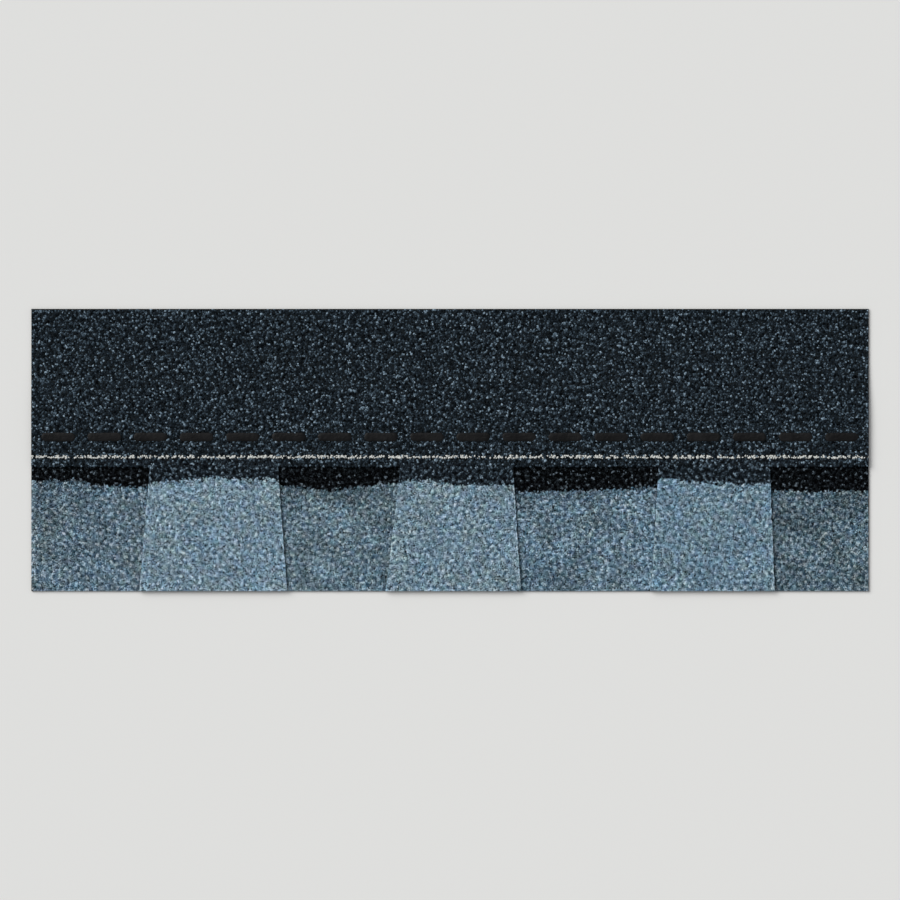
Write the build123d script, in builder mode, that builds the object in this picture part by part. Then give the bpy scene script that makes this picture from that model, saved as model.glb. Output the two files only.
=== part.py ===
from build123d import *
from collections import namedtuple
import os

# One laminated asphalt roof shingle, lying face up on a level floor.
#
# Two coated glass mats are glued together. The overlay is the full sheet, and a cutter has
# taken slots out of its lower edge, which leaves flared teeth. The backer is a plain strip
# under the teeth, and it shows through the slots. Above the backer nothing holds the overlay
# up, so it droops to the floor in a long shallow curve.
#
# +X runs along the course, to the right when the shingle is seen from above with its butt
# edge nearest. +Y runs up the roof, from the butt edge to the top edge. +Z is the weather
# side. The origin is at floor level, under the middle of the shingle.

# The sheet and its exposure
length = 1000.0
width = 337.0
exposure = 143.0

# The two sheets, mineral granules included, and the adhesive between them
overlay_thickness = 2.5
backer_thickness = 2.5
bond_thickness = 0.4

# The slots run on a little above the exposure, and the backer further still, which leaves
# the double layer that the nails go through
slot_overrun = 6.0
slot_root_radius = 2.0
bond_lap = 29.0

# Past the backer the overlay stays level at first, and then droops to the floor
level_run = 22.0
droop_run = 96.0

# Adhesive beads: one along the double layer, and two across each tooth
bead_width = 12.0
bead_margin = 8.0
lower_bead = 16.0
middle_bead = 78.0

# The self-sealing strip: dashes of soft asphalt on the weather side, on the level part. The
# gap is from the backer's upper edge to the middle of the dashes.
sealant_gap = 12.0
sealant_width = 12.0
sealant_height = 1.0
sealant_chamfer = 0.5
dash_length = 42.0
dash_pitch = 55.0
dash_end_margin = 10.0

# The release film under the backer lies where a shingle turned end for end puts its sealant
film_width = 32.0
film_thickness = 0.05

# The cutter's pattern, from the left end: each tooth, and the gap before it, at the butt
# edge. The gap after the last tooth is open to the sheet's right end.
first_gap = 129.0
first_tooth = 177.0
second_gap = 117.0
second_tooth = 162.0
third_gap = 155.0
third_tooth = 148.0

# A lean is how far that side of the tooth moves in for each millimetre up the shingle
Tooth = namedtuple("Tooth", "gap width left_lean right_lean")
cutter_pattern = (
    Tooth(first_gap, first_tooth, left_lean=0.085, right_lean=0.075),
    Tooth(second_gap, second_tooth, left_lean=0.120, right_lean=0.065),
    Tooth(third_gap, third_tooth, left_lean=0.060, right_lean=0.040),
)

# What follows from the driving dimensions
left_end = -length / 2
right_end = length / 2
butt_edge = -width / 2
top_edge = width / 2
slot_depth = exposure + slot_overrun
backer_width = exposure + bond_lap
bond_level = backer_thickness
overlay_level = backer_thickness + bond_thickness
weather_level = overlay_level + overlay_thickness
bond_bead = (slot_depth + backer_width) / 2
sealant_line = backer_width + sealant_gap
film_line = width - sealant_line


def up_from_butt(distance):
    """The Y of a line that runs along the shingle, this far above the butt edge."""
    return butt_edge + distance


def tooth_sides():
    """Each tooth's left and right side as (x at the butt edge, dx for each mm up)."""
    sides = []
    corner = left_end
    for tooth in cutter_pattern:
        left = corner + tooth.gap
        right = left + tooth.width
        sides.append(((left, tooth.left_lean), (right, -tooth.right_lean)))
        corner = right
    return sides


def side_at(side, distance):
    """The X of a tooth's side, this far above the butt edge."""
    x, lean = side
    return x + lean * distance


def slot_walls():
    """The two walls of each slot. The first and the last slot run out past the ends."""
    walls = []
    left_wall = (left_end - exposure, 0.0)
    for left_side, right_side in tooth_sides():
        walls.append((left_wall, left_side))
        left_wall = right_side
    walls.append((left_wall, (right_end + exposure, 0.0)))
    return walls


def draw_film():
    """The release film's outline, and that of its seat in the backer."""
    with Locations((0, up_from_butt(film_line))):
        Rectangle(length, film_width)


# The overlay: its section drawn along the sheet's middle, and the slots cut out of it
with BuildPart() as overlay:
    with BuildSketch(Plane.YZ.offset(left_end)):
        high = overlay_level + overlay_thickness / 2
        low = overlay_thickness / 2
        crest = up_from_butt(backer_width + level_run)
        toe = crest + droop_run
        with BuildLine():
            Line((butt_edge, high), (crest, high))
            halfway = ((crest + toe) / 2, (high + low) / 2)
            TangentArc((crest, high), halfway, tangent=(1, 0))
            TangentArc((toe, low), halfway, tangent=(-1, 0))
            Line((toe, low), (top_edge, low))
        trace(line_width=overlay_thickness)
    extrude(amount=length)

    with BuildSketch() as slots:
        below_butt = -exposure / 10
        for left_wall, right_wall in slot_walls():
            with BuildLine():
                Polyline(
                    (side_at(left_wall, below_butt), up_from_butt(below_butt)),
                    (side_at(left_wall, slot_depth), up_from_butt(slot_depth)),
                    (side_at(right_wall, slot_depth), up_from_butt(slot_depth)),
                    (side_at(right_wall, below_butt), up_from_butt(below_butt)),
                    close=True,
                )
            make_face()
        fillet(slots.vertices().group_by(Axis.Y)[-1], radius=slot_root_radius)
    extrude(amount=weather_level, mode=Mode.SUBTRACT)

# The backer: a plain strip, with a shallow seat underneath for the release film
with BuildPart() as backer:
    with BuildSketch():
        with Locations((0, up_from_butt(backer_width / 2))):
            Rectangle(length, backer_width)
    extrude(amount=backer_thickness)
    with BuildSketch():
        draw_film()
    extrude(amount=film_thickness, mode=Mode.SUBTRACT)

# The adhesive: beads that lie between the two sheets
with BuildPart() as adhesive:
    with BuildSketch(Plane.XY.offset(bond_level)):
        with Locations((0, up_from_butt(bond_bead))):
            SlotOverall(length - 2 * bead_margin, bead_width)
        for left_side, right_side in tooth_sides():
            for distance in (lower_bead, middle_bead):
                start = side_at(left_side, distance) + bead_margin
                end = min(side_at(right_side, distance), right_end) - bead_margin
                if end - start > 2 * bead_width:
                    with Locations(((start + end) / 2, up_from_butt(distance))):
                        SlotOverall(end - start, bead_width)
    extrude(amount=bond_thickness)

# The sealant: one row of dashes with chamfered tops, on the level part past the backer
with BuildPart() as sealant:
    dash_count = int((length - 2 * dash_end_margin - dash_length) // dash_pitch) + 1
    with BuildSketch(Plane.XY.offset(weather_level)):
        with Locations((0, up_from_butt(sealant_line))):
            with GridLocations(dash_pitch, 0, dash_count, 1):
                SlotOverall(dash_length, sealant_width)
    extrude(amount=sealant_height)
    chamfer(sealant.edges().group_by(Axis.Z)[-1], length=sealant_chamfer)

# The release film
with BuildPart() as film:
    with BuildSketch():
        draw_film()
    extrude(amount=film_thickness)

pieces = {
    "overlay_sheet": overlay,
    "backer_sheet": backer,
    "laminating_adhesive": adhesive,
    "sealant_strip": sealant,
    "release_film": film,
}
os.makedirs("parts", exist_ok=True)
for name, piece in pieces.items():
    piece.part.label = name
    export_step(piece.part, f"parts/{name}.step")
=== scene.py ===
import bmesh
import bpy
import math
import numpy as np
from collections import namedtuple
from functools import partial
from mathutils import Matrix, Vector


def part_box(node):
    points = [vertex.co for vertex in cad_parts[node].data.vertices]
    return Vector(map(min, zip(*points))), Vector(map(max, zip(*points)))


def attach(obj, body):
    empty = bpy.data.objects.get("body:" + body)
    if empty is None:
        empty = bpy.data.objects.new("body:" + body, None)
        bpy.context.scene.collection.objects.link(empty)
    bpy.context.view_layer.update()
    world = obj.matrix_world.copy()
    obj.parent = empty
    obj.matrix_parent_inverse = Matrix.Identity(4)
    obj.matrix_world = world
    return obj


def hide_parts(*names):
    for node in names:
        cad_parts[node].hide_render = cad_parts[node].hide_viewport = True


# The looks of one laminated asphalt roof shingle, lying face up.
#
# The two coated sheets keep their solids, with an asphalt finish. The mineral granules are
# real chips of stone, each a closed solid of eight faces, half sunk in the coating. They are
# sown zone by zone wherever a sheet shows from above, and each carries its own shade. The
# sealant is laid anew, as dashes that are domed and a little uneven.

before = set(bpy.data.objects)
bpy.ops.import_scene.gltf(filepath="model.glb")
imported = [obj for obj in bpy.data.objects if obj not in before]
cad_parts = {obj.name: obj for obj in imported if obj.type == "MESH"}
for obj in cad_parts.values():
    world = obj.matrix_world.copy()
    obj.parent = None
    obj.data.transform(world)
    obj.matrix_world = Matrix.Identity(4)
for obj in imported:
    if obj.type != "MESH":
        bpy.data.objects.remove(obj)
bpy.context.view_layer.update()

MM = 0.001
rng = np.random.default_rng(20)

# The sheets, as the frame gives them. Distances up the shingle start at the butt edge.
overlay_low, overlay_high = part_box("overlay_sheet")
backer_low, backer_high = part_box("backer_sheet")
sealant_low, sealant_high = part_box("sealant_strip")
left_end = overlay_low.x
right_end = overlay_high.x
butt_edge = overlay_low.y
width = overlay_high.y - overlay_low.y
weather_level = overlay_high.z
backer_level = backer_high.z
sheet_thickness = backer_high.z - backer_low.z
backer_width = backer_high.y - backer_low.y

# The cut of the overlay, as in the part's source. A tooth's left and right are its corners at
# the butt edge, counted from the left end, and a lean is how far that side moves in for each
# millimetre up.
exposure = 143 * MM
slot_depth = 149 * MM
level_run = 22 * MM
droop_run = 96 * MM
Tooth = namedtuple("Tooth", "left right left_lean right_lean")
teeth = (
    Tooth(left=129 * MM, right=306 * MM, left_lean=0.085, right_lean=0.075),
    Tooth(left=423 * MM, right=585 * MM, left_lean=0.120, right_lean=0.065),
    Tooth(left=740 * MM, right=888 * MM, left_lean=0.060, right_lean=0.040),
)

# The sealant dashes, as in the part's source, and how far their rims stay inside its solids
dash_length = 42 * MM
dash_pitch = 55 * MM
dash_inset = 0.3 * MM

# The lower edge of the dark granules in each zone, in millimetres: (distance from the left
# end, distance below the exposure line)
slot_bands = (
    ((0, 11.5), (52, 10), (73, 16), (125, 18.5)),
    ((312, 18.5), (358, 23.3), (415, 15)),
    ((590, 24.5), (690, 21.5), (735, 19.3)),
    ((895, 23.7), (965, 23.2), (1000, 23.5)),
)
tooth_bands = (
    ((145, 13.8), (207, 8), (290, 8.8)),
    ((445, 11), (475, 11), (508, 16), (575, 16)),
    ((750, 8.5), (778, 9.8), (796, 13.6), (880, 15.3)),
)

# How far a granule usually strays over that edge, and how far the edge itself wanders
band_fray = 1.2 * MM
band_wander = 0.5 * MM

# What the blend's red, green and blue are multiplied by in each zone
tooth_tones = ((1.09, 1.01, 1.10), (1.03, 0.96, 1.04), (0.895, 0.88, 0.99))
slot_tones = (
    (0.745, 0.695, 0.76), (0.80, 0.755, 0.81), (0.77, 0.745, 0.83), (0.62, 0.595, 0.645),
)

# How far the granules' shades spread: in each tooth and slot, in each slot's dark band, and in
# the dark granules of the overlay
tooth_spreads = (0.22, 0.23, 0.245)
slot_spreads = (0.295, 0.265, 0.285, 0.35)
band_spreads = (0.235, 0.24, 0.27, 0.235)
headlap_spread = 0.23

# The granules: how far apart they lie, and their reach from the middle to a corner
exposed_pitch = 1.85 * MM
headlap_pitch = 2.3 * MM
exposed_reach = 1.82 * MM
headlap_reach = 2.15 * MM

# They are rolled flat to this share of their height. They stand proud of the sheet, less the
# little that some are pressed in, and a small share of them has come off.
flatness = 0.38
proud = 0.5 * MM
pressed_in = 0.2 * MM
bare_share = 0.01

# Chips near a cut are made paler, the more the nearer they are: a painted highlight along the cut
# edges
highlight_margin = 4 * MM
highlight_gain = 0.15

# The painted nailing line: its place, half its breadth, and the share of its granules in paint
nail_line = 160 * MM
nail_line_half = 1.6 * MM
painted_share = 0.8


def from_left(x):
    """A distance from the shingle's left end as an X."""
    return left_end + x


def up(y):
    """A distance up from the butt edge as a Y."""
    return butt_edge + y


def weather_height(distance):
    """The Z of the overlay's weather side this far up: level, two arcs down, and level again."""
    drop = weather_level - sheet_thickness
    half_run = droop_run / 2
    radius = (half_run**2 + (drop / 2) ** 2) / drop
    past_crest = np.clip(distance - backer_width - level_run, 0, droop_run)
    first = np.minimum(past_crest, half_run)
    last = np.minimum(droop_run - past_crest, half_run)
    fall = np.where(
        past_crest < half_run,
        radius - np.sqrt(radius**2 - first**2),
        drop - radius + np.sqrt(radius**2 - last**2),
    )
    return weather_level - fall


def tooth_span(tooth, distance):
    """The X of a tooth's two sides this far up from the butt edge."""
    left = from_left(tooth.left) + tooth.left_lean * distance
    right = from_left(tooth.right) - tooth.right_lean * distance
    return left, right


def whole_span(distance):
    """The X of the sheet's two ends."""
    return np.full_like(distance, left_end), np.full_like(distance, right_end)


def slot_span(number, distance):
    """The X of a slot's two sides. The end slots run to the ends of the sheet."""
    left, right = whole_span(distance)
    if number > 0:
        left = tooth_span(teeth[number - 1], distance)[1]
    if number < len(teeth):
        right = tooth_span(teeth[number], distance)[0]
    return left, right


def band_edge(points, x):
    """How far up the shingle the light granules end, at each x."""
    across = [from_left(p[0] * MM) for p in points]
    below = [p[1] * MM for p in points]
    return exposure - np.interp(x, across, below)


def strewn(pitch, low, high):
    """Points on a jittered triangular grid, as X and distance from the butt edge."""
    row_pitch = pitch * math.sqrt(3) / 2
    first_row = low + pitch / 4
    jitter = 0.3 * pitch
    columns = np.arange(left_end, right_end, pitch)
    rows = np.arange(first_row, high, row_pitch)
    x, y = np.meshgrid(columns, rows)
    x = x + (np.arange(len(rows)) % 2)[:, None] * pitch / 2
    x = x + rng.uniform(-jitter, jitter, x.shape)
    y = y + rng.uniform(-jitter, jitter, y.shape)
    kept = rng.random(x.shape) > bare_share
    return x[kept], y[kept]


def drawn_in(x, y, span):
    """The points inside a zone, and those just outside it, which move in to its cut edge."""
    margin = 0.35 * MM
    near = 0.7 * MM
    left, right = span(y)
    here = (x > left - near) & (x < right + near) & (y < width - margin)
    x = np.clip(x, left + margin, right - margin)
    return x[here], np.maximum(y[here], margin)


def ripples(x, y, size):
    """A smooth random field over the sheet, of spread 1, whose patches are about this size."""
    waves = 200
    paces = (0.6, 1.4)
    turn = rng.uniform(0, 2 * math.pi, waves)
    phase = rng.uniform(0, 2 * math.pi, waves)
    pace = rng.uniform(*paces, waves) * math.pi / size
    total = np.zeros_like(x)
    for k in range(waves):
        total += np.cos(pace[k] * (x * math.cos(turn[k]) + y * math.sin(turn[k])) + phase[k])
    return total * math.sqrt(2 / waves)


# A blend of shades: how far they spread, and those of the dark band, how much further the
# lightest stand out, and how much of its shade a chip shares with its neighbours
Blend = namedtuple("Blend", "spread dark_spread sparkle shared")


def chip_shades(x, y, dark, blend):
    """How light each chip is: partly its own, partly shared by a clump of neighbours."""
    clump = 3.5 * MM
    own = rng.normal(0, 1, len(x))
    level = blend.shared * ripples(x, y, clump) + math.sqrt(1 - blend.shared**2) * own
    spread = np.where(dark == 1, blend.dark_spread, blend.spread)
    return 0.5 + spread * (level + blend.sparkle * (level**2 - 1))


def chip_tints(x, y, shade):
    """Where each chip lies between two tints, 0 to 1: near its neighbours, and mild if light."""
    clump = 7 * MM
    clump_share = 0.95
    own_share = 0.3
    darkest_spread = 0.312
    lightest_spread = 0.108
    own = rng.normal(0, 1, len(x))
    spread = np.interp(shade, (0, 1), (darkest_spread, lightest_spread))
    return np.clip(0.5 + spread * (clump_share * ripples(x, y, clump) + own_share * own), 0, 1)


def darkened(x, distance, edge, sprinkled, sprinkle_run, thinned):
    """How dark each granule is: 1 in the dark band, and 0 in the light blend below it.

    The band's lower edge wanders and is frayed. Below it half-dark granules are sprinkled:
    the sprinkled share dies away over the sprinkle run, and the thinned share falls evenly
    to none at the butt edge.
    """
    wander_run = 12 * MM
    half_dark = 0.6
    wander = band_wander * ripples(x, 0 * distance, wander_run)
    below = edge + wander - distance
    in_band = below + rng.normal(0, 1, len(distance)) * band_fray < 0
    share = sprinkled * np.exp(-np.maximum(below, 0) / sprinkle_run) + thinned * distance / edge
    is_half_dark = rng.random(len(distance)) < share
    return np.where(in_band, 1.0, half_dark * is_half_dark)


# A chip before it is stretched, turned and flattened: its corners, and the corners of each face
chip_corners = np.array([
    (1, 0, 0), (-1, 0, 0), (0, 1, 0), (0, -1, 0), (0, 0, 1), (0, 0, -1),
])
chip_faces = np.array([
    (0, 2, 4), (2, 1, 4), (1, 3, 4), (3, 0, 4),
    (2, 0, 5), (1, 2, 5), (3, 1, 5), (0, 3, 5),
])
corner_count = len(chip_corners)


def chip_shapes(count, reach):
    """The corners of each chip about its own middle, turned every way and flattened."""
    stretches = (0.78, 1.22)
    sizes = (0.72, 1.12)
    skew = 0.13
    stretch = rng.uniform(*stretches, (count, corner_count, 1))
    askew = rng.normal(0, skew, (count, corner_count, 3))
    size = rng.uniform(*sizes, (count, 1, 1))
    shapes = (chip_corners[None] * stretch + askew) * size
    quaternion = rng.normal(size=(count, 4))
    quaternion /= np.linalg.norm(quaternion, axis=1, keepdims=True)
    w, x, y, z = quaternion.T
    turn = np.array([
        [1 - 2 * (y * y + z * z), 2 * (x * y - z * w), 2 * (x * z + y * w)],
        [2 * (x * y + z * w), 1 - 2 * (x * x + z * z), 2 * (y * z - x * w)],
        [2 * (x * z - y * w), 2 * (y * z + x * w), 1 - 2 * (x * x + y * y)],
    ]).transpose(2, 0, 1)
    shapes = np.einsum("nij,nkj->nki", turn, shapes) * reach
    shapes[:, :, 2] *= flatness
    return shapes


def cut_wear_and_shade(x, y):
    """How far the chips at a cut stand back from it, more in some patches than in others:
    partly wear, and partly painted shade, as the bare black coating darkens the cut.
    """
    patch = 8 * MM
    patch_setback_mm = 0.45
    own_setback_mm = (-0.1, 0.2)
    most_setback_mm = 1.2
    setback_mm = patch_setback_mm * ripples(x, y, patch) + rng.uniform(*own_setback_mm, len(x))
    return np.clip(setback_mm, 0, most_setback_mm) * MM


def mesh_object(name, places, faces, material, floats):
    """A mesh object in the shared frame, with one float a vertex for each name in floats."""
    mesh = bpy.data.meshes.new(name)
    mesh.vertices.add(len(places))
    mesh.vertices.foreach_set("co", places.astype(np.float32).ravel())
    mesh.loops.add(faces.size)
    mesh.loops.foreach_set("vertex_index", faces.astype(np.int32).ravel())
    mesh.polygons.add(len(faces))
    starts = np.arange(len(faces), dtype=np.int32) * faces.shape[1]
    mesh.polygons.foreach_set("loop_start", starts)
    mesh.update(calc_edges=True)
    for label, values in floats.items():
        layer = mesh.attributes.new(label, "FLOAT", "POINT")
        layer.data.foreach_set("value", values.astype(np.float32))
    mesh.materials.append(material)
    mesh.validate()
    piece = bpy.data.objects.new(name, mesh)
    bpy.context.scene.collection.objects.link(piece)
    return piece


def flat_map(mesh):
    """A UV map for the bake that looks straight down on the piece."""
    layer = mesh.uv_layers.new(name="OFBake")
    corner = np.empty(len(mesh.loops), np.int32)
    mesh.loops.foreach_get("vertex_index", corner)
    places = np.empty(len(mesh.vertices) * 3, np.float32)
    mesh.vertices.foreach_get("co", places)
    flat = places.reshape(-1, 3)[:, :2]
    low = flat.min(0)
    span = flat.max(0) - low
    layer.data.foreach_set("uv", ((flat - low) / span)[corner].ravel())


# A coat of granules: the name of its piece, its slot and its material, its chips' reach, a
# function that gives the X of its two sides at each distance up, and its blend
Coat = namedtuple("Coat", "name slot material reach span blend")


def granules(coat, x, distance, height, dark, paint):
    """A coat of granules as one joined mesh.

    Chips at the coat's sides are cut flush with them, or stand a little further back: partly
    wear, and partly painted shade, as the bare black coating darkens the cuts.
    """
    count = len(x)
    shapes = chip_shapes(count, coat.reach)
    top = shapes[:, :, 2].max(1)
    lift = height + proud - top - rng.uniform(0, pressed_in, count)
    places = shapes + np.stack([x, up(distance), lift], 1)[:, None]
    left, right = coat.span(places[:, :, 1] - butt_edge)
    wear_and_shade = cut_wear_and_shade(x, distance)[:, None]
    # Chips stand half as far back from a cut on the left as from one on the right, where the
    # bare black coating adds painted shade on the side away from the light
    places[:, :, 0] = np.clip(places[:, :, 0], left + wear_and_shade / 2, right - wear_and_shade)
    places[:, :, 1] = np.clip(places[:, :, 1], up(0), up(width))
    faces = (np.arange(count)[:, None, None] * corner_count + chip_faces).reshape(-1, 3)
    left, right = coat.span(distance)
    # Chips near a cut are lightened: a painted highlight along the cut edges
    to_cut = np.minimum(np.minimum(x - left, right - x), distance)
    edge_highlight = np.clip(1 - to_cut / highlight_margin, 0, 1)
    shade = np.clip(chip_shades(x, distance, dark, coat.blend) + highlight_gain * edge_highlight, 0, 1)
    floats = {
        "shade": shade, "dark": dark, "paint": paint,
        "cool": chip_tints(x, distance, shade), "rosy": chip_tints(x, distance, shade),
    }
    floats = {label: np.repeat(values, corner_count) for label, values in floats.items()}
    piece = mesh_object(coat.name, places.reshape(-1, 3), faces, coat.material, floats)
    flat_map(piece.data)
    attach(piece, "root")


def node_tree(name):
    """A new material, with its nodes, its links and its shader."""
    material = bpy.data.materials.new(name)
    material.use_nodes = True
    nodes = material.node_tree.nodes
    shader = next(n for n in nodes if n.type == "BSDF_PRINCIPLED")
    return material, nodes, material.node_tree.links, shader


def srgb(red, green, blue):
    """A colour written as 0 to 255 on a screen, as Blender's linear colour."""
    def linear(value):
        value /= 255
        return value / 12.92 if value <= 0.04045 else ((value + 0.055) / 1.055) ** 2.4
    return linear(red), linear(green), linear(blue), 1.0


def ramp(nodes, links, factor, stops):
    """A colour ramp over a socket, with its colours written as 0 to 255 on a screen."""
    node = nodes.new("ShaderNodeValToRGB")
    elements = node.color_ramp.elements
    elements[0].position, elements[0].color = stops[0][0], srgb(*stops[0][1])
    elements[1].position, elements[1].color = stops[-1][0], srgb(*stops[-1][1])
    for position, colour in stops[1:-1]:
        elements.new(position).color = srgb(*colour)
    links.new(factor, node.inputs[0])
    return node.outputs[0]


def mixed(nodes, links, factor, a, b, blend="MIX"):
    """Two colours mixed. The factor and the colours are sockets or plain values."""
    node = nodes.new("ShaderNodeMix")
    node.data_type = "RGBA"
    node.blend_type = blend
    node.clamp_result = False
    # Sockets 6 and 7 take the colours, and result 2 gives their mix
    for socket, value in ((node.inputs[0], factor), (node.inputs[6], a), (node.inputs[7], b)):
        if isinstance(value, bpy.types.NodeSocket):
            links.new(value, socket)
        else:
            socket.default_value = value
    return node.outputs[2]


def noise(nodes, links, scale, detail, seed, stretch=1.0):
    """Noise over the object's own coordinates, tilted so that its grid shows on no flat face.

    Stretch is how many times as long its patches are along X as they are across.
    """
    place = nodes.new("ShaderNodeTexCoord")
    tilt = nodes.new("ShaderNodeMapping")
    tilt.inputs["Rotation"].default_value = (0.6, 0.4, 0.9)
    tilt.inputs["Scale"].default_value = (1 / stretch, 1, 1)
    links.new(place.outputs["Object"], tilt.inputs["Vector"])
    node = nodes.new("ShaderNodeTexNoise")
    node.noise_dimensions = "4D"
    node.inputs["W"].default_value = seed
    node.inputs["Scale"].default_value = scale
    node.inputs["Detail"].default_value = detail
    links.new(tilt.outputs[0], node.inputs["Vector"])
    return node.outputs["Fac"]


def remapped(nodes, links, value, from_low, from_high, to_low, to_high):
    """A socket's range, stretched to another range."""
    node = nodes.new("ShaderNodeMapRange")
    links.new(value, node.inputs["Value"])
    node.inputs["From Min"].default_value = from_low
    node.inputs["From Max"].default_value = from_high
    node.inputs["To Min"].default_value = to_low
    node.inputs["To Max"].default_value = to_high
    return node.outputs[0]


def scaled(nodes, links, colour, strength):
    """A colour made darker or lighter by a socket."""
    node = nodes.new("ShaderNodeVectorMath")
    node.operation = "SCALE"
    links.new(colour, node.inputs[0])
    links.new(strength, node.inputs["Scale"])
    return node.outputs[0]


def attribute(nodes, name):
    """One of the floats that a mesh carries."""
    node = nodes.new("ShaderNodeAttribute")
    node.attribute_name = name
    return node.outputs["Fac"]


def facing(nodes, links, low, high):
    """1 where the surface's normal has its Z between two values, and else 0."""
    normal = nodes.new("ShaderNodeNewGeometry").outputs["Normal"]
    parts = nodes.new("ShaderNodeSeparateXYZ")
    links.new(normal, parts.inputs[0])
    node = nodes.new("ShaderNodeMath")
    node.operation = "COMPARE"
    links.new(parts.outputs["Z"], node.inputs[0])
    node.inputs[1].default_value = (low + high) / 2
    node.inputs[2].default_value = (high - low) / 2
    return node.outputs[0]


def roughen(nodes, links, shader, height, distance, strength):
    """A bump on the shader, from a socket that gives its height."""
    bump = nodes.new("ShaderNodeBump")
    bump.inputs["Distance"].default_value = distance
    bump.inputs["Strength"].default_value = strength
    links.new(height, bump.inputs["Height"])
    links.new(bump.outputs[0], shader.inputs["Normal"])


# The granules' colours, from the darkest chip to the lightest: the light blend, the dark band
# in the slots, and the dark granules of the overlay. The two dark ramps are partly painted
# shadow: dark granules made darker still, as if a course laid above shaded the slots' band and
# the teeth's tops. The overlay's ramp darkens the whole headlap with it.
blend_stops = (
    (0.00, (72, 98, 115)),
    (0.50, (139, 166, 180)),
    (0.93, (195, 221, 237)),
    (1.00, (214, 232, 242)),
)
# The slots' dark band: near-black granules, made darker still by painted shadow
band_and_shadow_stops = (
    (0.00, (1, 1, 2)),
    (0.50, (4, 5, 6)),
    (0.70, (23, 27, 31)),
    (0.88, (49, 57, 63)),
    (1.00, (96, 108, 118)),
)
# The overlay's dark granules, made darker by painted shadow, on the teeth's tops and the headlap
headlap_and_shade_stops = (
    (0.00, (3, 4, 6)),
    (0.35, (17, 23, 28)),
    (0.55, (36, 45, 53)),
    (0.72, (64, 78, 89)),
    (0.88, (96, 114, 128)),
    (1.00, (132, 152, 167)),
)
# What a chip's colour is multiplied by, from warm to cool, from green to rosy, and for the slow
# drift of the blend
cool_stops = ((0.0, (255, 251, 233)), (1.0, (237, 253, 255)))
rosy_stops = ((0.0, (240, 253, 247)), (1.0, (255, 248, 255)))
drift_stops = ((0.35, (243, 250, 255)), (0.5, (250, 250, 252)), (0.65, (254, 252, 246)))
paint_colour = srgb(206, 208, 204)


def granule_material(name, dark_stops, tone, drift, seed):
    """Stone chips: each has its own shade and tint, and the blend drifts along the sheet."""
    material, nodes, links, shader = node_tree(name)
    shade = attribute(nodes, "shade")
    colour = ramp(nodes, links, shade, blend_stops)
    for label, stops in (("cool", cool_stops), ("rosy", rosy_stops)):
        tint = ramp(nodes, links, attribute(nodes, label), stops)
        colour = mixed(nodes, links, 1.0, colour, tint, "MULTIPLY")
    patches = noise(nodes, links, scale=26, detail=3, seed=seed)
    tint = ramp(nodes, links, patches, drift_stops)
    colour = mixed(nodes, links, 1.0, colour, tint, "MULTIPLY")
    colour = mixed(nodes, links, 1.0, colour, (*tone, 1.0), "MULTIPLY")
    level = noise(nodes, links, scale=34, detail=3, seed=seed + 5)
    strength = remapped(nodes, links, level, 0.35, 0.65, 1 - drift, 1 + drift)
    colour = scaled(nodes, links, colour, strength)
    dark = ramp(nodes, links, shade, dark_stops)
    colour = mixed(nodes, links, attribute(nodes, "dark"), colour, dark)
    colour = mixed(nodes, links, attribute(nodes, "paint"), colour, paint_colour)
    links.new(colour, shader.inputs["Base Color"])
    shader.inputs["Roughness"].default_value = 0.7
    shader.inputs["Specular IOR Level"].default_value = 0.015
    return material


def sheet_material(name, seed):
    """A coated sheet: black asphalt above, a raw cut at its edges and fine sand below."""
    material, nodes, links, shader = node_tree(name)
    grain = noise(nodes, links, scale=900, detail=4, seed=seed)
    coating = ramp(nodes, links, grain, ((0.3, (10, 14, 16)), (0.7, (22, 29, 33))))
    cut = ramp(nodes, links, noise(nodes, links, scale=1500, detail=2, seed=seed), (
        (0.35, (14, 13, 13)), (0.60, (30, 29, 28)), (0.74, (88, 90, 90)),
    ))
    sand = ramp(nodes, links, noise(nodes, links, scale=1300, detail=3, seed=seed), (
        (0.30, (26, 26, 25)), (0.48, (58, 57, 55)), (0.60, (92, 90, 86)), (0.72, (150, 147, 140)),
    ))
    patches = noise(nodes, links, scale=18, detail=3, seed=seed + 2)
    sand = scaled(nodes, links, sand, remapped(nodes, links, patches, 0.3, 0.7, 0.75, 1.25))
    is_edge = facing(nodes, links, -0.5, 0.5)
    is_below = facing(nodes, links, -1.1, -0.5)
    colour = mixed(nodes, links, is_edge, coating, cut)
    colour = mixed(nodes, links, is_below, colour, sand)
    links.new(colour, shader.inputs["Base Color"])
    roughen(nodes, links, shader, grain, distance=0.25 * MM, strength=0.7)
    shader.inputs["Roughness"].default_value = 0.78
    shader.inputs["Specular IOR Level"].default_value = 0.1
    return material


def soft_asphalt(name, colour, roughness, seed):
    """Soft black asphalt as it was laid: an uneven skin with a few dull, dusty patches."""
    dust_gain = 16
    dust_roughness = 0.25
    material, nodes, links, shader = node_tree(name)
    skin = noise(nodes, links, scale=220, detail=4, seed=seed)
    dust = noise(nodes, links, scale=60, detail=3, seed=seed + 3)
    dusty = tuple(c + dust_gain for c in colour)
    tone = ramp(nodes, links, dust, ((0.45, colour), (0.75, dusty)))
    links.new(tone, shader.inputs["Base Color"])
    rough = remapped(nodes, links, dust, 0.35, 0.7, roughness, roughness + dust_roughness)
    links.new(rough, shader.inputs["Roughness"])
    roughen(nodes, links, shader, skin, distance=0.7 * MM, strength=1.0)
    shader.inputs["Specular IOR Level"].default_value = 0.18
    return material


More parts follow.
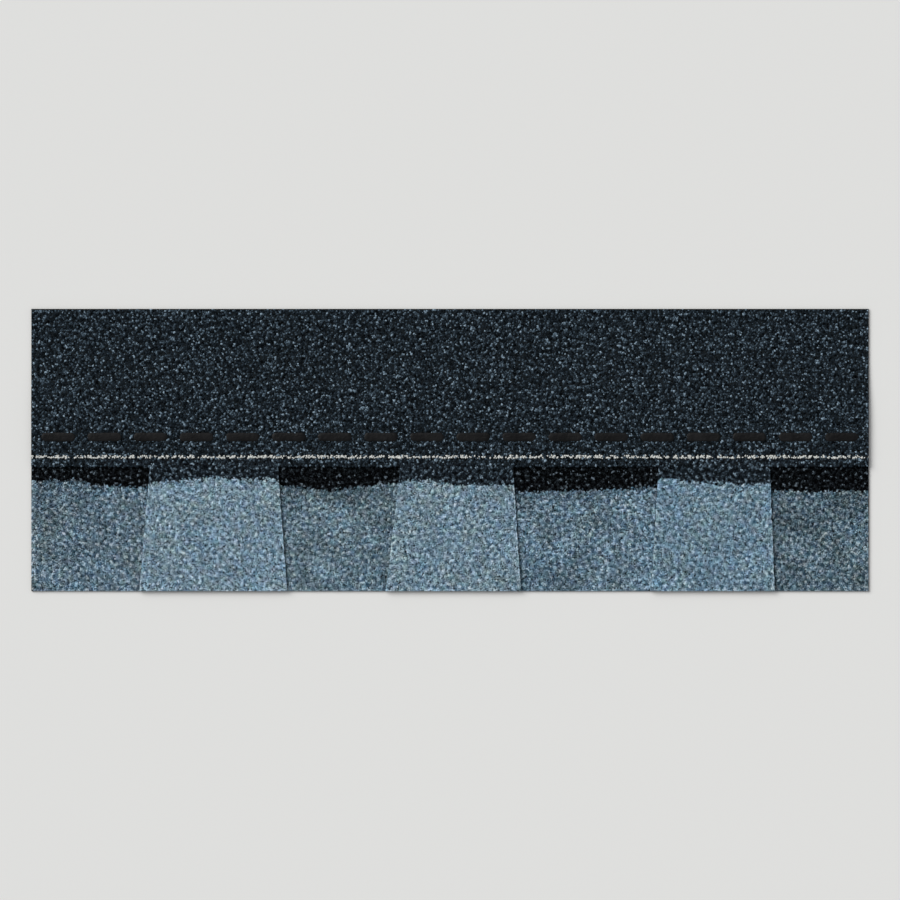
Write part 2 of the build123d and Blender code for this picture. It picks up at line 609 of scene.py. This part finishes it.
def film_material():
    """Clear film on black asphalt: dark where it clings, milky where creases lift it off."""
    material, nodes, links, shader = node_tree("film")
    air = noise(nodes, links, scale=70, detail=5, seed=40, stretch=2)
    tone = ramp(nodes, links, air, (
        (0.35, (54, 56, 58)), (0.52, (78, 81, 83)), (0.68, (110, 114, 116)),
    ))
    creases = noise(nodes, links, scale=260, detail=3, seed=41, stretch=7)
    tone = scaled(nodes, links, tone, remapped(nodes, links, creases, 0.35, 0.65, 0.6, 1.4))
    links.new(tone, shader.inputs["Base Color"])
    roughen(nodes, links, shader, creases, distance=0.4 * MM, strength=0.7)
    shader.inputs["Roughness"].default_value = 0.16
    return material


def dress(node, material):
    """Give a piece of the frame this material and no other."""
    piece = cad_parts[node]
    piece.data.materials.clear()
    piece.data.materials.append(material)


def coat_teeth():
    """The granules of each tooth, up to the roots of the slots."""
    for number, tooth in enumerate(teeth):
        span = partial(tooth_span, tooth)
        x, y = drawn_in(*strewn(exposed_pitch, 0, slot_depth), span)
        name = f"tooth_granules_{number + 1}"
        tone = tooth_tones[number]
        # The teeth's dark band takes the darker ramp, with its painted shadow
        stone = granule_material(name, headlap_and_shade_stops, tone, drift=0.15, seed=number)
        blend = Blend(tooth_spreads[number], headlap_spread, sparkle=0.0, shared=0.82)
        coat = Coat(name, "tooth_granules", stone, exposed_reach, span, blend)
        edge = band_edge(tooth_bands[number], x)
        dark = darkened(x, y, edge, sprinkled=0.2, sprinkle_run=4 * MM, thinned=0.0)
        granules(coat, x, y, weather_height(y), dark, np.zeros(len(x)))


def coat_slots():
    """The backer's granules in each slot, which run on a little way under the teeth."""
    under_tooth = 5 * MM
    for number, band in enumerate(slot_bands):
        x, y = drawn_in(*strewn(exposed_pitch, 0, slot_depth + under_tooth), whole_span)
        left, right = slot_span(number, y)
        here = (x > left - under_tooth) & (x < right + under_tooth)
        x, y = x[here], y[here]
        name = f"slot_granules_{number + 1}"
        tone = slot_tones[number]
        # The slots' dark band takes the near-black ramp, with its painted shadow
        stone = granule_material(name, band_and_shadow_stops, tone, drift=0.30, seed=10 + number)
        blend = Blend(slot_spreads[number], band_spreads[number], sparkle=0.08, shared=0.8)
        coat = Coat(name, "shadow_granules", stone, exposed_reach, whole_span, blend)
        edge = band_edge(band, x)
        dark = darkened(x, y, edge, sprinkled=0.35, sprinkle_run=9 * MM, thinned=0.12)
        granules(coat, x, y, np.full(len(x), backer_level), dark, np.zeros(len(x)))


def coat_headlap():
    """The dark granules above the slots, as a left and a right half, with the nailing line."""
    x, y = drawn_in(*strewn(headlap_pitch, slot_depth, width), whole_span)
    painted = (np.abs(y - nail_line) < nail_line_half) & (rng.random(len(x)) < painted_share)
    paint = painted.astype(float)
    # The headlap takes the darker ramp too, with its painted shadow
    stone = granule_material(
        "headlap_granules", headlap_and_shade_stops, tooth_tones[0], drift=0.1, seed=20,
    )
    blend = Blend(headlap_spread, headlap_spread, sparkle=0.0, shared=0.45)
    for side, half in (("left", x < 0), ("right", x >= 0)):
        name = f"headlap_granules_{side}"
        coat = Coat(name, "tooth_granules", stone, headlap_reach, whole_span, blend)
        dark = np.ones(half.sum())
        granules(coat, x[half], y[half], weather_height(y[half]), dark, paint[half])


def stadium(length, breadth, per_end, per_side):
    """Points around a stadium, as the foot of each on the middle line and its outward way."""
    reach = (length - breadth) / 2
    turn = np.linspace(-math.pi / 2, math.pi / 2, per_end, endpoint=False)
    right = np.stack([np.cos(turn), np.sin(turn)], 1)
    run = np.linspace(reach, -reach, per_side, endpoint=False)
    upper = np.tile([0.0, 1.0], (per_side, 1))
    ways = np.concatenate([right, upper, -right, -upper])
    feet_x = np.concatenate([np.full(per_end, reach), run, np.full(per_end, -reach), -run])
    feet = np.stack([feet_x, np.zeros_like(feet_x)], 1)
    return feet, ways


def dash_rings(feet, ways, middle, breadth, height):
    """One sealant dash as rings of points, from its sunk foot up over its dome."""
    ring_count = 8
    sunk = 0.3 * MM
    fullness = 0.6
    waver_size = 0.05
    waver_patch = 5 * MM
    lump_size = 0.05
    lump_patch = 7 * MM
    rim = feet + ways * breadth / 2 + middle
    waver = 1 - waver_size * np.abs(ripples(rim[:, 0], rim[:, 1], waver_patch))
    rings = []
    for ring in range(ring_count + 1):
        # Out is 1 at the rim and 0 on the middle line
        out = 1 - ring / ring_count
        flat = feet + ways * (breadth / 2 - dash_inset) * (waver * out)[:, None] + middle
        rise = height * (1 - out**3) ** fullness
        lumps = np.clip(ripples(flat[:, 0], flat[:, 1], lump_patch), -2, 2)
        rings.append(np.column_stack([flat, weather_level + rise * (1 + lump_size * lumps)]))
    foot = rings[0] - [0, 0, sunk]
    return [foot, *rings]


def close_mesh(mesh):
    """Weld a mesh's doubled points, fill its open foot, and smooth the faces that look up."""
    weld_distance = 0.002 * MM
    looks_up = 0.1
    work = bmesh.new()
    work.from_mesh(mesh)
    bmesh.ops.remove_doubles(work, verts=work.verts, dist=weld_distance)
    bmesh.ops.holes_fill(work, edges=[e for e in work.edges if e.is_boundary], sides=0)
    bmesh.ops.triangulate(work, faces=[f for f in work.faces if len(f.verts) > 4])
    bmesh.ops.recalc_face_normals(work, faces=work.faces)
    for face in work.faces:
        face.smooth = face.normal.z > looks_up
    work.to_mesh(mesh)
    work.free()


def lay_sealant(material):
    """The sealant: a row of domed dashes, each a little uneven, pressed over the granules."""
    dome_height = 0.9 * (sealant_high.z - sealant_low.z)
    breadth = sealant_high.y - sealant_low.y
    count = round((sealant_high.x - sealant_low.x - dash_length) / dash_pitch) + 1
    feet, ways = stadium(
        dash_length - 2 * dash_inset, breadth - 2 * dash_inset, per_end=20, per_side=26,
    )
    around = len(feet)
    middle_y = (sealant_low.y + sealant_high.y) / 2
    places = []
    faces = []
    for k in range(count):
        middle = np.array([(k - (count - 1) / 2) * dash_pitch, middle_y])
        rings = dash_rings(feet, ways, middle, breadth, dome_height)
        for ring in range(len(rings) - 1):
            start = (len(places) + ring) * around
            here = start + np.arange(around)
            after = start + (np.arange(around) + 1) % around
            faces.append(np.stack([here, after, after + around, here + around], 1))
        places += rings
    piece = mesh_object(
        "sealant_dashes", np.concatenate(places), np.concatenate(faces), material, {},
    )
    close_mesh(piece.data)
    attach(piece, "root")
    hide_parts("sealant_strip")


def make_floor():
    """A wide pale floor, a hair below the shingle."""
    half = 20.0
    level = -0.05 * MM
    corners = np.array([
        (-half, -half, level), (half, -half, level), (half, half, level), (-half, half, level),
    ])
    material, _, _, shader = node_tree("floor")
    shader.inputs["Base Color"].default_value = srgb(226, 226, 224)
    shader.inputs["Roughness"].default_value = 0.9
    floor = mesh_object("floor", corners, np.array([(0, 1, 2, 3)]), material, {})


def make_light():
    """A pale sky, and a wide soft sun from high on the upper left."""
    world = bpy.data.worlds.new("studio")
    bpy.context.scene.world = world
    world.use_nodes = True
    sky = world.node_tree.nodes["Background"]
    sky.inputs["Color"].default_value = (0.95, 0.97, 1.0, 1.0)
    sky.inputs["Strength"].default_value = 0.40
    lamp = bpy.data.lights.new("key", "SUN")
    lamp.angle = math.radians(45)
    lamp.energy = 2.77
    lamp.color = (1.0, 0.99, 0.975)
    key = bpy.data.objects.new("key", lamp)
    bpy.context.scene.collection.objects.link(key)
    key.location = Vector((-2.1, 1.6, 2.3))
    key.rotation_euler = (-key.location).to_track_quat("-Z", "Y").to_euler()


def make_camera():
    """Straight down on the shingle, with its butt edge nearest the picture's foot.

    The shingle takes up its share of the picture's width.
    """
    shingle_share = 0.93
    lens = bpy.data.cameras.new("camera")
    lens.sensor_width = 36.0
    lens.lens = 200.0
    camera = bpy.data.objects.new("camera", lens)
    bpy.context.scene.collection.objects.link(camera)
    half_angle = math.atan(lens.sensor_width / 2 / lens.lens)
    distance = (right_end - left_end) / 2 / shingle_share / math.tan(half_angle)
    camera.location = Vector((0.0, 0.0, distance))
    lens.clip_end = 4 * distance
    bpy.context.scene.camera = camera


coat_teeth()
coat_slots()
coat_headlap()
dress("overlay_sheet", sheet_material("overlay_coating", seed=30))
dress("backer_sheet", sheet_material("backer_coating", seed=31))
dress("laminating_adhesive", soft_asphalt("adhesive", (12, 11, 11), roughness=0.4, seed=32))
dress("release_film", film_material())
lay_sealant(soft_asphalt("sealant", (4, 4, 5), roughness=0.42, seed=33))
make_floor()
make_light()
make_camera()
bpy.context.scene.view_settings.view_transform = "Standard"
